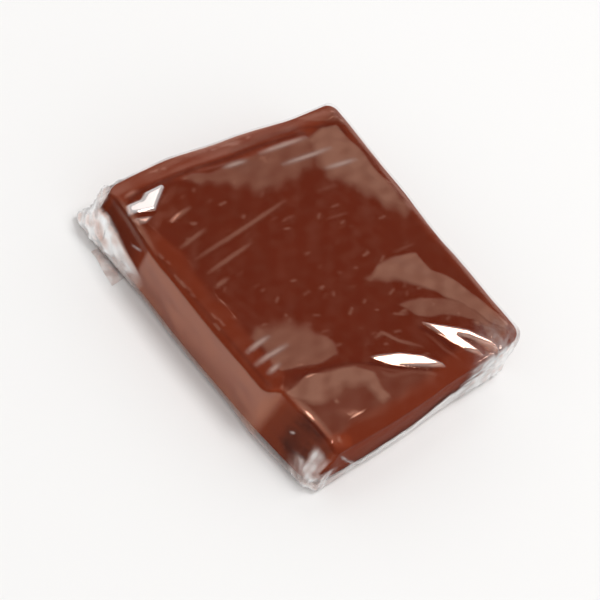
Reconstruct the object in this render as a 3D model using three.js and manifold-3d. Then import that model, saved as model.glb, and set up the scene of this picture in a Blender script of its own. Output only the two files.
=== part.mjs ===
import * as THREE from "three";
import { mergeVertices } from "three/addons/utils/BufferGeometryUtils.js";
import Module from "manifold-3d";

// A flat slab of dark chocolate caramel, fold-wrapped in clear film, lying on its underside.
// Millimetres. +X runs along the two long sides, +Y across them and +Z up, through the flat top.
// The two ends, at -X and +X, are where the film is tucked, folded down and turned under.

// ---- The slab ----------------------------------------------------------------------------------
// It is cut by hand, so no two sides are parallel. Its corners in plan, counter-clockwise from
// the front left one, each with its own rounding.
const SLAB_CORNERS = [
  { x: -19.4, y: -15.6, round: 3.3 },
  { x: 18.2, y: -15.6, round: 3.0 },
  { x: 17.1, y: 14.5, round: 2.8 },
  { x: -16.3, y: 16.1, round: 2.2 },
];
const SLAB_THICK = 6.3;
const TOP_EDGE = { across: 2.2, down: 1.4 }; // the soft upper edge
const FOOT_EDGE = { across: 0.7, down: 0.7 };
const SWELL = 0.12; // height of the slow waves in the top
const SWELL_LENGTH = { x: 29, y: 23 };
const DROOP = { corner: 1, depth: 0.5, reach: 6 }; // the front right corner has sagged a little

// ---- The film ----------------------------------------------------------------------------------
const FILM = 0.15; // wall of the film, as thin as a sound solid allows
const GAP = 0.3; // air between the slab and the film
const FILM_CORNER = { top: 1.2, foot: 0.4 }; // the film creases sharply where the slab is round
const WALL_FOOT = 0.25; // height of the small rounding where a wall meets the underside
const LIP = { out: 0.65, top: 3.6 }; // the folded ends flare out towards the bottom, as a lip
const EAR = { out: 0.7, top: 2.2 }; // the points of film at the four bottom corners
const TUCK_TOP = 0.03; // where a tuck's slanting edge starts and ends, as a share of the end
const TUCK_FOOT = 0.24;
const FLAP_STEP = 0.22; // an end flap stands proud of the tucks that it covers
const UNDER_FLAP = { reach: 8.5, taper: 0.62 }; // the flaps turned under, and their narrow edge
const SEAM = { width: 7, y: -1.5 }; // the lap that runs lengthwise along the underside
const SLIT = { length: 12, width: 0.3 }; // where the lap stands open along its edge
const TAB = { x: -14, length: 4.4, out: 1.7, skew: 0.7 }; // a film end peeping out at the front

// ---- Mesh steps --------------------------------------------------------------------------------
const CORNER_STEPS = 6;
const EDGE_STEPS = 3;
const LONG_SIDE_STEPS = 11;
const END_STEPS = 8;
const TOP_RING_INSETS = [4.4, 7.4, 11];
const SIDES = [0, 1, 2, 3]; // front, right end, back, left end: side i leaves corner i

const isEnd = (side) => side % 2 === 1;
const mix = (a, b, t) => a + (b - a) * t;

// Evenly spaced places along a side, between its two rounded corners.
function evenPlaces(steps) {
  return Array.from({ length: steps - 1 }, (_, k) => (k + 1) / steps);
}

// Places along an end of the wrapper: a fold line near each corner, drawn as a narrow step, that
// slants inwards from the top of the wall to its foot.
function foldPlaces(heightShare) {
  const fold = mix(TUCK_FOOT, TUCK_TOP, heightShare);
  const riser = 0.012;
  const left = [fold / 2, fold, fold + riser];
  const middle = evenPlaces(END_STEPS).map((t) => mix(fold + riser, 1 - fold - riser, t));
  const right = left.map((t) => 1 - t).reverse();
  return [...left, ...middle, ...right];
}

// The line of side i, moved inwards by inset, as inward normal and distance.
function sideLine(i, inset) {
  const from = SLAB_CORNERS[i];
  const to = SLAB_CORNERS[(i + 1) % 4];
  const length = Math.hypot(to.x - from.x, to.y - from.y);
  const nx = -(to.y - from.y) / length;
  const ny = (to.x - from.x) / length;
  return { nx, ny, c: from.x * nx + from.y * ny + inset };
}

function crossing(a, b) {
  const d = a.nx * b.ny - a.ny * b.nx;
  return { x: (a.c * b.ny - b.c * a.ny) / d, y: (a.nx * b.c - b.nx * a.c) / d };
}

// One level ring round the slab. inset(side) moves each side in, radius(corner) rounds each
// corner, places(side) says where its points lie, and push(kind, index, k) moves a point outwards.
function ring({ z, inset, radius, places, push = () => 0 }) {
  const points = [];
  for (const i of SIDES) {
    const before = (i + 3) % 4;
    const r = radius(i);
    const into = sideLine(before, inset(before) + r);
    const out = sideLine(i, inset(i) + r);
    const centre = crossing(into, out);
    const start = Math.atan2(-into.ny, -into.nx);
    let turn = Math.atan2(-out.ny, -out.nx) - start;
    if (turn < 0) turn += 2 * Math.PI;
    for (let k = 0; k <= CORNER_STEPS; k += 1) {
      const angle = start + (turn * k) / CORNER_STEPS;
      const reach = r + push("corner", i, k);
      points.push({
        x: centre.x + reach * Math.cos(angle),
        y: centre.y + reach * Math.sin(angle),
        z,
      });
    }
    const after = (i + 1) % 4;
    const next = crossing(
      sideLine(i, inset(i) + radius(after)),
      sideLine(after, inset(after) + radius(after)),
    );
    const from = { x: centre.x - r * out.nx, y: centre.y - r * out.ny };
    const to = { x: next.x - radius(after) * out.nx, y: next.y - radius(after) * out.ny };
    places(i).forEach((t, k) => {
      const shift = push("side", i, k);
      points.push({
        x: mix(from.x, to.x, t) - out.nx * shift,
        y: mix(from.y, to.y, t) - out.ny * shift,
        z,
      });
    });
  }
  return points;
}

// Slow waves and the drooping corner of the top, faded out towards the flat underside.
function topRelief(x, y) {
  const corner = SLAB_CORNERS[DROOP.corner];
  const far = Math.hypot(x - corner.x, y - corner.y) / DROOP.reach;
  const wave = Math.cos((2 * Math.PI * x) / SWELL_LENGTH.x + 0.6);
  const cross = Math.cos((2 * Math.PI * y) / SWELL_LENGTH.y - 0.9);
  return SWELL * wave * cross - DROOP.depth * Math.exp(-far * far);
}

// A closed skin through rings from the underside to the top, with a fan at each end.
function skin(rings, bottom, height) {
  const count = rings[0].length;
  const positions = [];
  const add = (p) => {
    const share = Math.max(0, (p.z - bottom) / height);
    positions.push(p.x, p.y, p.z + topRelief(p.x, p.y) * share * share);
  };
  const middle = (points) => ({
    x: points.reduce((sum, p) => sum + p.x, 0) / count,
    y: points.reduce((sum, p) => sum + p.y, 0) / count,
    z: points[0].z,
  });
  rings.forEach((points) => points.forEach(add));
  add(middle(rings[0]));
  add(middle(rings[rings.length - 1]));
  const foot = rings.length * count;
  const crown = foot + 1;
  const last = (rings.length - 1) * count;
  const faces = [];
  for (let k = 0; k < count; k += 1) {
    const n = (k + 1) % count;
    faces.push(foot, n, k, crown, last + k, last + n);
    for (let level = 0; level < rings.length - 1; level += 1) {
      const low = level * count;
      const high = low + count;
      faces.push(low + k, low + n, high + n, low + k, high + n, high + k);
    }
  }
  const geometry = new THREE.BufferGeometry();
  geometry.setAttribute("position", new THREE.Float32BufferAttribute(positions, 3));
  geometry.setIndex(faces);
  return geometry;
}

// Levels of a rounded edge: quarter-ellipse steps as inset and height above its lower end.
function footEdge(edge, bottom) {
  return Array.from({ length: EDGE_STEPS + 1 }, (_, k) => {
    const a = (Math.PI / 2) * (k / EDGE_STEPS);
    return { inset: edge.across * (1 - Math.sin(a)), z: bottom + edge.down * (1 - Math.cos(a)) };
  });
}

function topEdge(edge, top) {
  return Array.from({ length: EDGE_STEPS + 1 }, (_, k) => {
    const a = (Math.PI / 2) * (k / EDGE_STEPS);
    return { inset: edge.across * (1 - Math.cos(a)), z: top - edge.down * (1 - Math.sin(a)) };
  });
}

const SLAB_BOTTOM = FILM + GAP;
const SLAB_TOP = SLAB_BOTTOM + SLAB_THICK;
const WALL_TOP = SLAB_TOP - TOP_EDGE.down;

// The caramel itself: soft edges, rounded corners, a gently waved top and a flat underside.
function slabGeometry() {
  const levels = [
    ...footEdge(FOOT_EDGE, SLAB_BOTTOM),
    ...topEdge(TOP_EDGE, SLAB_TOP),
    ...TOP_RING_INSETS.map((inset) => ({ inset, z: SLAB_TOP })),
  ];
  const rings = levels.map(({ inset, z }) =>
    ring({
      z,
      inset: () => inset,
      radius: (corner) => Math.max(SLAB_CORNERS[corner].round - inset, 0.4),
      places: (side) => evenPlaces(isEnd(side) ? END_STEPS : LONG_SIDE_STEPS),
    }),
  );
  return skin(rings, SLAB_BOTTOM, SLAB_THICK);
}

// One face of the film, standing `away` from the slab, from `bottom` up. Its end walls flare
// into the lip; the outer face also has the flaps' steps and the pointed ears.
function filmSkin(away, bottom, outer) {
  const top = SLAB_TOP + away;
  const middleHeights = [1.1, 2.2, LIP.top].map((z) => ({ inset: -away, z }));
  const levels = [
    { inset: WALL_FOOT - away, z: bottom },
    { inset: -away, z: bottom + WALL_FOOT },
    ...middleHeights,
    ...topEdge(TOP_EDGE, top).map(({ inset, z }) => ({ inset: inset - away, z })),
    ...TOP_RING_INSETS.map((inset) => ({ inset, z: top })),
  ];
  const rings = levels.map(({ inset, z }) => {
    const low = Math.max(0, 1 - z / LIP.top);
    const flare = LIP.out * low * low;
    const point = EAR.out * Math.max(0, 1 - z / EAR.top);
    const step = z < WALL_TOP ? FLAP_STEP : 0;
    const cornerRound = mix(FILM_CORNER.foot, FILM_CORNER.top, Math.min(1, z / LIP.top));
    const endPoints = foldPlaces(1);
    return ring({
      z,
      inset: (side) => inset - (isEnd(side) ? flare : 0),
      radius: () => Math.max(cornerRound - Math.max(inset, 0), 0.3),
      places: (side) =>
        isEnd(side)
          ? foldPlaces(Math.min(1, z / WALL_TOP))
          : evenPlaces(LONG_SIDE_STEPS),
      push: (kind, index, k) => {
        if (!outer) return 0;
        if (kind === "corner") return point * (1 - Math.abs((2 * k) / CORNER_STEPS - 1));
        const onFlap = isEnd(index) && k >= 2 && k <= endPoints.length - 3;
        return onFlap ? step : 0;
      },
    });
  });
  return skin(rings, bottom, top - bottom);
}

// A flat plate on the underside, FILM thick and let a little way into the film above it.
function underPlate(corners) {
  const shape = new THREE.Shape(corners.map(([x, y]) => new THREE.Vector2(x, y)));
  const plate = new THREE.ExtrudeGeometry(shape, { depth: 1.5 * FILM, bevelEnabled: false });
  return plate.translate(0, 0, -FILM);
}

// The flap turned under at one end: as wide as the end between its tucks, narrower inwards.
function underFlap(end) {
  const [from, to] = end > 0 ? [1, 2] : [3, 0];
  const a = SLAB_CORNERS[from];
  const b = SLAB_CORNERS[to];
  const at = (share, inwards) => [
    mix(a.x, b.x, share) - end * inwards,
    mix(a.y, b.y, share),
  ];
  const half = 0.5 - TUCK_FOOT;
  const narrow = half * UNDER_FLAP.taper;
  return underPlate([
    at(0.5 - half, 0),
    at(0.5 + half, 0),
    at(0.5 + narrow, UNDER_FLAP.reach),
    at(0.5 - narrow, UNDER_FLAP.reach),
  ]);
}

function seamStrip() {
  const left = SLAB_CORNERS[0].x + UNDER_FLAP.reach / 2;
  const right = SLAB_CORNERS[1].x - UNDER_FLAP.reach / 2;
  const low = SEAM.y - SEAM.width / 2;
  const high = SEAM.y + SEAM.width / 2;
  return underPlate([
    [left, low],
    [right, low],
    [right, high],
    [left, high],
  ]);
}

// The corner of a folded end that peeps out from under the front side.
function frontTab() {
  const wall = SLAB_CORNERS[0].y - GAP;
  const left = TAB.x - TAB.length / 2;
  const right = TAB.x + TAB.length / 2;
  return underPlate([
    [left, wall - TAB.out + TAB.skew],
    [right + TAB.skew, wall - TAB.out],
    [right, wall + TAB.out],
    [left, wall + TAB.out],
  ]);
}

// The slit beside the lap, through the film and into the air inside it.
function seamSlit() {
  const slit = new THREE.BoxGeometry(SLIT.length, SLIT.width, 4 * FILM);
  return slit.translate(0, SEAM.y + SEAM.width / 2 + SLIT.width, 0);
}

const wasm = await Module();
wasm.setup();

function toSolid(geometry) {
  const bare = geometry.index ? geometry.toNonIndexed() : geometry.clone();
  bare.deleteAttribute("normal");
  bare.deleteAttribute("uv");
  const merged = mergeVertices(bare, 1e-4);
  return new wasm.Manifold(
    new wasm.Mesh({
      numProp: 3,
      vertProperties: merged.attributes.position.array,
      triVerts: new Uint32Array(merged.index.array),
    }),
  );
}

function toGeometry(solid) {
  const mesh = solid.getMesh();
  const geometry = new THREE.BufferGeometry();
  geometry.setAttribute("position", new THREE.BufferAttribute(mesh.vertProperties, 3));
  geometry.setIndex(new THREE.BufferAttribute(mesh.triVerts, 1));
  return geometry;
}

// The wrapper: a thin skin round the slab with its laps on the underside, open at the slit.
function wrapperGeometry() {
  const outer = toSolid(filmSkin(GAP + FILM, 0, true));
  const inner = toSolid(filmSkin(GAP, FILM, false));
  const plates = [underFlap(-1), underFlap(1), seamStrip(), frontTab()].map(toSolid);
  const laps = plates.reduce((joined, plate) => joined.add(plate));
  return toGeometry(outer.add(laps).subtract(inner).subtract(toSolid(seamSlit())));
}

const caramel = new THREE.Mesh(
  slabGeometry(),
  new THREE.MeshStandardMaterial({ color: 0x5e2817, roughness: 0.35, metalness: 0 }),
);
caramel.name = "caramel_slab";

const wrapper = new THREE.Mesh(
  wrapperGeometry(),
  new THREE.MeshStandardMaterial({
    color: 0xf2efec,
    roughness: 0.06,
    metalness: 0,
    transparent: true,
    opacity: 0.25,
  }),
);
wrapper.name = "film_wrapper";

// The part's origin is under its middle, on the surface that it lies on.
const sweet = new THREE.Group();
sweet.add(caramel, wrapper);
const box = new THREE.Box3().setFromObject(sweet);
const middle = box.getCenter(new THREE.Vector3());
sweet.children.forEach((mesh) => mesh.position.set(-middle.x, -middle.y, -box.min.z));

export default sweet;
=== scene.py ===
import math

import bpy
import numpy as np
from mathutils import Matrix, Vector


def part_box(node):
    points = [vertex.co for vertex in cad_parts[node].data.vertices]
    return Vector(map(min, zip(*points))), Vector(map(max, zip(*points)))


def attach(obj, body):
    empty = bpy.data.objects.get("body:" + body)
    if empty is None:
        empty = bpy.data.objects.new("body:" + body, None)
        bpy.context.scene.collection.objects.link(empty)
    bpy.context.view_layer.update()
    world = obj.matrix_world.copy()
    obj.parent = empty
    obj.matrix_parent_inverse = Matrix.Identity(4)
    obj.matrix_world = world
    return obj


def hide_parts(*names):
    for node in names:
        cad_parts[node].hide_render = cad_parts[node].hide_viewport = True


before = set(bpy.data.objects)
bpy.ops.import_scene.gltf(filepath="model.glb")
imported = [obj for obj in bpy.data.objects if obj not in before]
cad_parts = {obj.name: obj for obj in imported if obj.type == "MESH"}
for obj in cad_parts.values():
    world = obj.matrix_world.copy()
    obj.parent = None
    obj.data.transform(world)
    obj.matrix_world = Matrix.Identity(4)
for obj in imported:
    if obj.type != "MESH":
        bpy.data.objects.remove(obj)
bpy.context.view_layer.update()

# ==== The caramel ================================================================================
# One slab of soft chocolate caramel, poured flat, left to set and cut by hand with a long knife,
# so no two sides are parallel. Its upper edges have slumped round, and the lower front right
# corner was pressed in when the sweet was wrapped. It lies loose inside its film.

MM = 0.001
slab_low, slab_high = (np.array(corner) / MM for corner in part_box("caramel_slab"))
SLAB_MIDDLE = ((slab_low + slab_high) / 2)[:2]

# The corners in plan, in mm from the slab's middle: front left, front right, back right, back left.
PLAN = SLAB_MIDDLE + np.array([(-18.92, -15.80), (18.68, -15.80), (17.58, 14.30), (-15.82, 15.90)])
# The radii of its four upright corners, at the foot and at the top.
CORNER_ROUND = np.array([[3.3, 2.6, 2.5, 1.7], [2.4, 1.3, 1.6, 1.2]])
FRONT_LEFT, FRONT_RIGHT = PLAN[0], PLAN[1]
SLAB_FOOT = slab_low[2]
SLAB_CROWN = SLAB_FOOT + 6.3
# How the upper edge has slumped along the front, right, back and left sides: where along the side
# (in x or y), how far in and how far down.
SLUMPS = [
    [(-17.0, 0.7, 0.30), (-12.0, 1.1, 0.50), (-8.0, 2.3, 0.80), (9.2, 2.1, 0.75),
     (10.4, 0.7, 0.03)],
    [(-15.0, 1.0, 0.40), (-11.0, 1.9, 0.70), (8.0, 2.0, 0.75), (14.0, 1.2, 0.40)],
    [(-16.0, 1.2, 0.40), (17.0, 1.2, 0.35)],
    [(-14.0, 3.0, 0.95), (10.0, 3.0, 0.95), (13.0, 2.4, 0.70), (16.0, 1.4, 0.45)],
]
# How far each side bows outwards, where along it (in x or y), and how widely.
BOWS = [(0.45, 4.0, 10.0), (0.30, -5.0, 7.0), (-0.35, 7.0, 8.0), (0.47, -1.5, 10.5)]
BOW_DEPTH = 4.0             # a bow fades out over about this far inwards
SWELL = (0.12, 29.0, 23.0)  # height of the slow waves of the top, and their lengths
SAGS = [(FRONT_RIGHT, 0.15, 6.0), (FRONT_LEFT, 0.65, 5.5)]  # hanging corners: drop and reach
BEND_X = 11.0               # from here to the right end the top slopes down a little
BEND_FALL = 0.05            # mm down per mm
# Where the front's upper edge is pressed in: x, and how deep. It is pressed from a quarter of the
# slab's height up, and fades out over about PRESSED_DEPTH behind the edge.
PRESSED = [(-18.5, 1.3), (-16.9, 1.2), (-14.4, 0.83), (-12.8, 0.5), (-10.7, 0.13), (-9.5, 0.0),
           (9.8, 0.0), (10.7, 0.95), (12.8, 1.0), (15.4, 1.25), (18.7, 1.2)]
PRESSED_FROM = 0.25
PRESSED_DEPTH = 2.2
# The small lumps that the knife left: how high, how wide, and the seed of their shapes.
LUMPS = [(0.045, 9.0, 1), (0.016, 3.2, 2)]

CARAMEL_FULL = 0.25          # the caramel fills its wrapper out to this far past the cut size
UNDER_FULL = 0.3             # this share of it at the underside
CARAMEL_EDGES = (0.5, 0.35)  # how far the foot and the upper edge are rounded, before the slump
CARAMEL_GRID = (112, 96)     # mesh squares along the sides and along the ends
CARAMEL_STEPS = 18           # mesh squares up the walls


def smooth_step(value, start, end):
    """0 before start, 1 after end, and an easy curve between them."""
    share = np.clip((value - start) / (end - start), 0, 1)
    return share * share * (3 - 2 * share)


def side_ways():
    """The outward direction of each of the four sides in plan."""
    heading = np.roll(PLAN, -1, axis=0) - PLAN
    return np.stack([heading[:, 1], -heading[:, 0]], axis=1) / np.hypot(*heading.T)[:, None]


def plan_ring(stand_off, rounds, squares):
    """Points round the plan at an even step, stand_off mm outside its sides."""
    out = side_ways()
    before = np.roll(out, 1, axis=0)
    spread = (out + before) / (1 + (out * before).sum(axis=1))[:, None]
    centres = PLAN + spread * (stand_off - rounds)[:, None]
    angle = np.arctan2(out[:, 1], out[:, 0])
    turn = (angle - np.roll(angle, 1)) % (2 * math.pi)
    half = rounds * turn / 2
    points = []
    for side in range(4):
        after = (side + 1) % 4
        first = centres[side] + rounds[side] * out[side]
        last = centres[after] + rounds[after] * out[side]
        straight = np.hypot(*(last - first))
        total = half[side] + straight + half[after]
        count = squares[side % 2]
        gone = np.arange(count) / count * total - half[side]
        bent = angle[side] + np.minimum(gone, 0) / rounds[side]
        bent += np.maximum(gone - straight, 0) / rounds[after]
        centre = np.where(gone[:, None] > straight, centres[after], centres[side])
        radius = np.where(gone > straight, rounds[after], rounds[side])
        arc = centre + radius[:, None] * np.stack([np.cos(bent), np.sin(bent)], axis=1)
        line = first + (last - first) * np.clip(gone / straight, 0, 1)[:, None]
        on_line = (gone >= 0) & (gone <= straight)
        points.append(np.where(on_line[:, None], line, arc))
    return np.concatenate(points)


def grid_faces(index):
    """The quads between the points of a grid, seen from above."""
    corners = index[:-1, :-1], index[1:, :-1], index[1:, 1:], index[:-1, 1:]
    return np.stack([corner.ravel() for corner in corners], axis=1)


def filled(ring, squares, first, step, made):
    """The inner points of a grid that fills a ring, and the grid's quads, seen from above.

    The ring's own points are numbered from first on, by step, and the inner ones from made on.
    """
    nx, ny = squares
    index = np.full((nx + 1, ny + 1), -1)
    index[:, 0] = np.arange(nx + 1)
    index[nx, :] = nx + np.arange(ny + 1)
    index[:, ny] = nx + ny + np.arange(nx, -1, -1)
    index[0, :] = (2 * nx + ny + np.arange(ny, -1, -1)) % len(ring)
    inner = index < 0
    u = np.linspace(0, 1, nx + 1)[:, None, None]
    v = np.linspace(0, 1, ny + 1)[None, :, None]
    front, back = ring[index[:, 0]][:, None], ring[index[:, ny]][:, None]
    left, right = ring[index[0]][None], ring[index[nx]][None]
    corners = (1 - u) * (1 - v) * ring[index[0, 0]] + u * (1 - v) * ring[index[nx, 0]]
    corners = corners + u * v * ring[index[nx, ny]] + (1 - u) * v * ring[index[0, ny]]
    points = (1 - v) * front + v * back + (1 - u) * left + u * right - corners
    points[..., 2] = ring[0, 2]
    index = first + step * index
    index[inner] = made + np.arange(inner.sum())
    return points[inner], grid_faces(index)


def slab_skin(levels, squares, coarse=1):
    """A closed skin in quads: rings from the underside up, a grid on top and one underneath.

    levels holds (stand_off, rounds, z) for each ring. The underside's grid is coarse times wider.
    """
    nx, ny = squares
    count = 2 * (nx + ny)
    points, faces = [], []
    for stand_off, rounds, z in levels:
        ring = plan_ring(stand_off, rounds, squares)
        points.append(np.column_stack([ring, np.full(count, z)]))
    here = np.arange(count)
    there = np.roll(here, -1)
    for level in range(len(levels) - 1):
        low, high = level * count, (level + 1) * count
        faces.append(np.stack([low + here, low + there, high + there, high + here], axis=1))
    made = len(levels) * count
    inner, quads = filled(points[-1], squares, made - count, 1, made)
    faces = np.concatenate(faces + [quads]).tolist()
    wide = (nx // coarse, ny // coarse)
    under, quads = filled(points[0][::coarse], wide, 0, coarse, made + len(inner))
    points += [inner, under]
    for face in quads[:, ::-1].tolist():
        corners = []
        for start, end in zip(face, face[1:] + face[:1]):
            corners.append(start)
            if max(start, end) < count and (start - end) % count == coarse:
                corners += [(start - k) % count for k in range(1, coarse)]
        faces.append(corners)
    return np.concatenate(points), faces


def wall_levels(stand_off, foot, top, foot_round, top_round, steps):
    """Stand-offs and heights up a wall that is rounded a little at its foot and at its top."""
    turn = np.linspace(0, math.pi / 2, 5)
    low = [(stand_off - foot_round * (1 - math.sin(a)), foot + foot_round * (1 - math.cos(a)))
           for a in turn]
    high = [(stand_off - top_round * (1 - math.cos(a)), top - top_round * (1 - math.sin(a)))
            for a in turn]
    straight = np.linspace(foot + foot_round, top - top_round, steps + 1)[1:-1]
    return low + [(stand_off, z) for z in straight] + high


def waver(points, size, seed):
    """A smooth, shapeless unevenness of about -1 to 1, with waves of about this size in mm."""
    rng = np.random.default_rng(seed)
    total = np.zeros(len(points))
    for _ in range(14):
        way = rng.normal(size=3)
        way *= 2 * math.pi * rng.uniform(0.65, 1.5) / (size * np.linalg.norm(way))
        total += np.cos(points @ way + rng.uniform(0, 2 * math.pi))
    return total / 4.2


def inside_sides(points):
    """How far each point lies inside each of the four sides of the plan, in mm."""
    return np.stack([(PLAN[i] - points[:, :2]) @ way for i, way in enumerate(side_ways())])


def edge_fall(side, points):
    """How far in and how far down a side's upper edge has slumped, beside each point."""
    along, across, down = np.array(SLUMPS[side]).T
    here = points[:, side % 2]
    return np.interp(here, along, across), np.interp(here, along, down)


def settle(points):
    """Give a level skin the slab's slumped edges, bowed sides, hanging corners and pressed edge."""
    x, y, z = points.T
    height = SLAB_CROWN - SLAB_FOOT
    off_middle = points[:, :2] - SLAB_MIDDLE
    wave = np.cos(2 * math.pi * off_middle[:, 0] / SWELL[1] + 0.5)
    wave *= np.cos(2 * math.pi * off_middle[:, 1] / SWELL[2] - 0.85)
    slumped = np.zeros(len(points))
    bowed = np.zeros((len(points), 2))
    for side, (way, depth_in) in enumerate(zip(side_ways(), inside_sides(points))):
        across, down = edge_fall(side, points)
        slumped += (down * (1 - np.clip(depth_in / across, 0, 1)) ** 1.3) ** 3
        amount, middle, spread = BOWS[side]
        from_middle = ((points[:, side % 2] - middle) / spread) ** 4
        reach = np.exp(-from_middle - np.maximum(depth_in, 0) / BOW_DEPTH)
        bowed += (amount * reach)[:, None] * way
    drop = np.cbrt(slumped) + BEND_FALL * np.maximum(x - BEND_X, 0)
    for corner, fall, reach in SAGS:
        drop += fall * np.exp(-(np.hypot(*(points[:, :2] - corner).T) / reach) ** 2)
    share = np.clip((z - SLAB_FOOT) / height, 0, 1)
    pressed = np.interp(x, *np.array(PRESSED).T)
    pressed = pressed * smooth_step(z, SLAB_FOOT + PRESSED_FROM * height, SLAB_FOOT + height)
    inward = pressed * np.exp(-np.maximum(y - FRONT_RIGHT[1], 0) / PRESSED_DEPTH)
    return np.column_stack([x + bowed[:, 0], y + bowed[:, 1] + inward,
                            z + share * (SWELL[0] * wave * share - drop)])


def unevenness(level):
    """The lumps of the hand-cut slab, in mm outwards, which fade out at its foot."""
    lumps = sum(height * waver(level, width, seed) for height, width, seed in LUMPS)
    return lumps * smooth_step(level[:, 2], SLAB_FOOT + 0.2, SLAB_FOOT + 1.5)


def new_piece(name, points, faces):
    """A smooth-shaded mesh object from points in mm."""
    mesh = bpy.data.meshes.new(name)
    mesh.from_pydata((points * MM).tolist(), [], faces)
    mesh.validate()
    mesh.shade_smooth()
    piece = bpy.data.objects.new(name, mesh)
    bpy.context.scene.collection.objects.link(piece)
    return piece


def normals_of(piece):
    """The outward direction at each of a mesh's points."""
    flat = np.zeros(3 * len(piece.data.vertices))
    piece.data.vertices.foreach_get("normal", flat)
    return flat.reshape(-1, 3)


def reshape_piece(piece, points):
    """Move a mesh's points to new places, in mm."""
    piece.data.vertices.foreach_set("co", (points * MM).ravel())
    piece.data.update()


def mark(piece, name, values):
    """Store a number from 0 to 1 at each of a mesh's points, for its material to read."""
    layer = piece.data.attributes.new(name, "FLOAT", "POINT")
    layer.data.foreach_set("value", np.clip(values, 0, 1))


foot = SLAB_FOOT - UNDER_FULL * CARAMEL_FULL
top = SLAB_CROWN + CARAMEL_FULL
levels = []
for off, z in wall_levels(CARAMEL_FULL, foot, top, *CARAMEL_EDGES, CARAMEL_STEPS):
    rounds = CORNER_ROUND[0] + (CORNER_ROUND[1] - CORNER_ROUND[0]) * (z - foot) / (top - foot)
    levels.append((off, np.maximum(rounds + off - CARAMEL_FULL, 0.5), z))
level, faces = slab_skin(levels, CARAMEL_GRID)
skin = settle(level)
caramel = new_piece("caramel", skin, faces)
reshape_piece(caramel, skin + normals_of(caramel) * unevenness(level)[:, None])


def along_route(points, route):
    """How far each point is from a route in plan, and its share of the way along it."""
    best = np.full(len(points), 1e9)
    share = np.zeros(len(points))
    legs = list(zip(route[:-1], route[1:]))
    for k, (start, end) in enumerate(legs):
        start, end = np.array(start), np.array(end)
        way = end - start
        t = np.clip((points[:, :2] - start) @ way / (way @ way), 0, 1)
        gap = np.hypot(*(points[:, :2] - start - t[:, None] * way).T)
        nearer = gap < best
        best = np.where(nearer, gap, best)
        share = np.where(nearer, (k + t) / len(legs), share)
    return best, share


# Painted light: the slumped rim lets more light through than the thick middle, so it is painted
# redder and lighter there, and the walls are painted redder and lighter for the light falling on
# them.
RIM_LIGHT = [0.55, 0.45, 0.40, 0.70]  # how much painted light reddens the front, right, back and left edges
WALL_LIGHT = 0.8                   # and how much painted light reddens the walls
RIM_WAVES = (0.30, 4.0)          # how ragged the rim's inner line is, and its waves' size
# The crest of the pressed-in edge is thin and painted redder and lighter as well.
PRESSED_EDGE = [(10.4, -15.5), (12.8, -14.9), (15.4, -14.4), (17.6, -14.4), (18.4, -12.0)]
rim = np.zeros(len(level))
for side, depth_in in enumerate(inside_sides(level)):
    ragged = depth_in + RIM_WAVES[0] * waver(level, RIM_WAVES[1], 4)
    width = edge_fall(side, level)[0]
    rim = np.maximum(rim, RIM_LIGHT[side] * (1 - smooth_step(ragged, width - 0.7, width + 0.3)))
on_walls = 1 - smooth_step(level[:, 2], SLAB_CROWN - 0.6, SLAB_CROWN)
rim = np.maximum(rim * (1 - on_walls), WALL_LIGHT * on_walls)
gap = along_route(skin, PRESSED_EDGE)[0]
rim = np.maximum(rim, (1 - smooth_step(gap, 0.4, 1.0)) * (skin[:, 2] > SLAB_CROWN - 1.2))
mark(caramel, "painted_light", rim)

# Painted shade: the pressed-in facet by the right corner is painted dark, and so are thin lines
# along the wrapper's folds on the top: half width, how dark, and the route. The wall by the left
# corner is painted darker too.
SHADE_LINES = [
    (0.32, 0.55, [(-16.1, -13.1), (-16.4, -11.4), (-16.2, -8.9), (-15.9, -4.8), (-15.3, -0.5),
                  (-14.9, 4.3), (-14.0, 10.4)]),
    (0.65, 0.30, [(-15.7, 1.8), (-15.5, 6.3), (-14.9, 10.3)]),
    (0.22, 0.35, [(-15.6, 7.6), (-14.5, 11.2), (-12.8, 14.3), (-11.7, 14.8)]),
    (0.22, 0.26, [(10.2, -12.6), (10.7, -9.3), (11.6, -6.0), (12.9, -3.2)]),
    (0.20, 0.30, [(-9.0, -15.1), (0.0, -15.4), (9.2, -15.3)]),
    (0.16, 0.50, [(12.6, -4.0), (14.4, -1.3), (16.3, 2.0)]),
    (0.20, 0.45, [(11.8, 4.6), (13.6, 5.6), (15.6, 6.2)]),
]
FACET_DARK = (0.22, 0.28)   # how dark the facet's painted shade is, and how much more to the right
DEEPEST = (0.9, 15.4, 2.3)  # its deepest painted shade: how dark, at what x, half width
WEDGE_DARK = 0.46           # how dark the wall by the left corner is
x, y, z = level.T
at_front = smooth_step(-y, 15.0, 15.4)
facet = FACET_DARK[0] + FACET_DARK[1] * smooth_step(x, 11.5, 15.5)
facet *= smooth_step(x, 10.2, 12.0)
deepest = np.exp(-((x - DEEPEST[1]) / DEEPEST[2]) ** 4) * smooth_step(z, 0.8, 2.2)
facet = np.maximum(facet, DEEPEST[0] * deepest)
facet *= 0.8 + 0.2 * waver(level, 2.6, 5) + 0.12 * waver(level, 0.9, 6)
wedge = WEDGE_DARK * (1 - smooth_step(x, -12.5, -9.5)) * smooth_step(x, -18.0, -17.0)
painted_shade = at_front * np.maximum(facet, wedge)
for half_width, dark, route in SHADE_LINES:
    gap = along_route(skin, route)[0]
    painted_shade = np.maximum(painted_shade, dark * np.exp(-(gap / half_width) ** 2) * (z > SLAB_CROWN))
mark(caramel, "painted_shade", painted_shade)

# The caramel's browns: the third is painted light for the rim and walls, the fourth painted shade.
DARK_CARAMEL = (0.105, 0.0150, 0.0060, 1)
MID_CARAMEL = (0.129, 0.0195, 0.0080, 1)
LIT_CARAMEL = (0.205, 0.0345, 0.0130, 1)
SHADED_CARAMEL = (0.038, 0.0065, 0.0055, 1)


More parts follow.
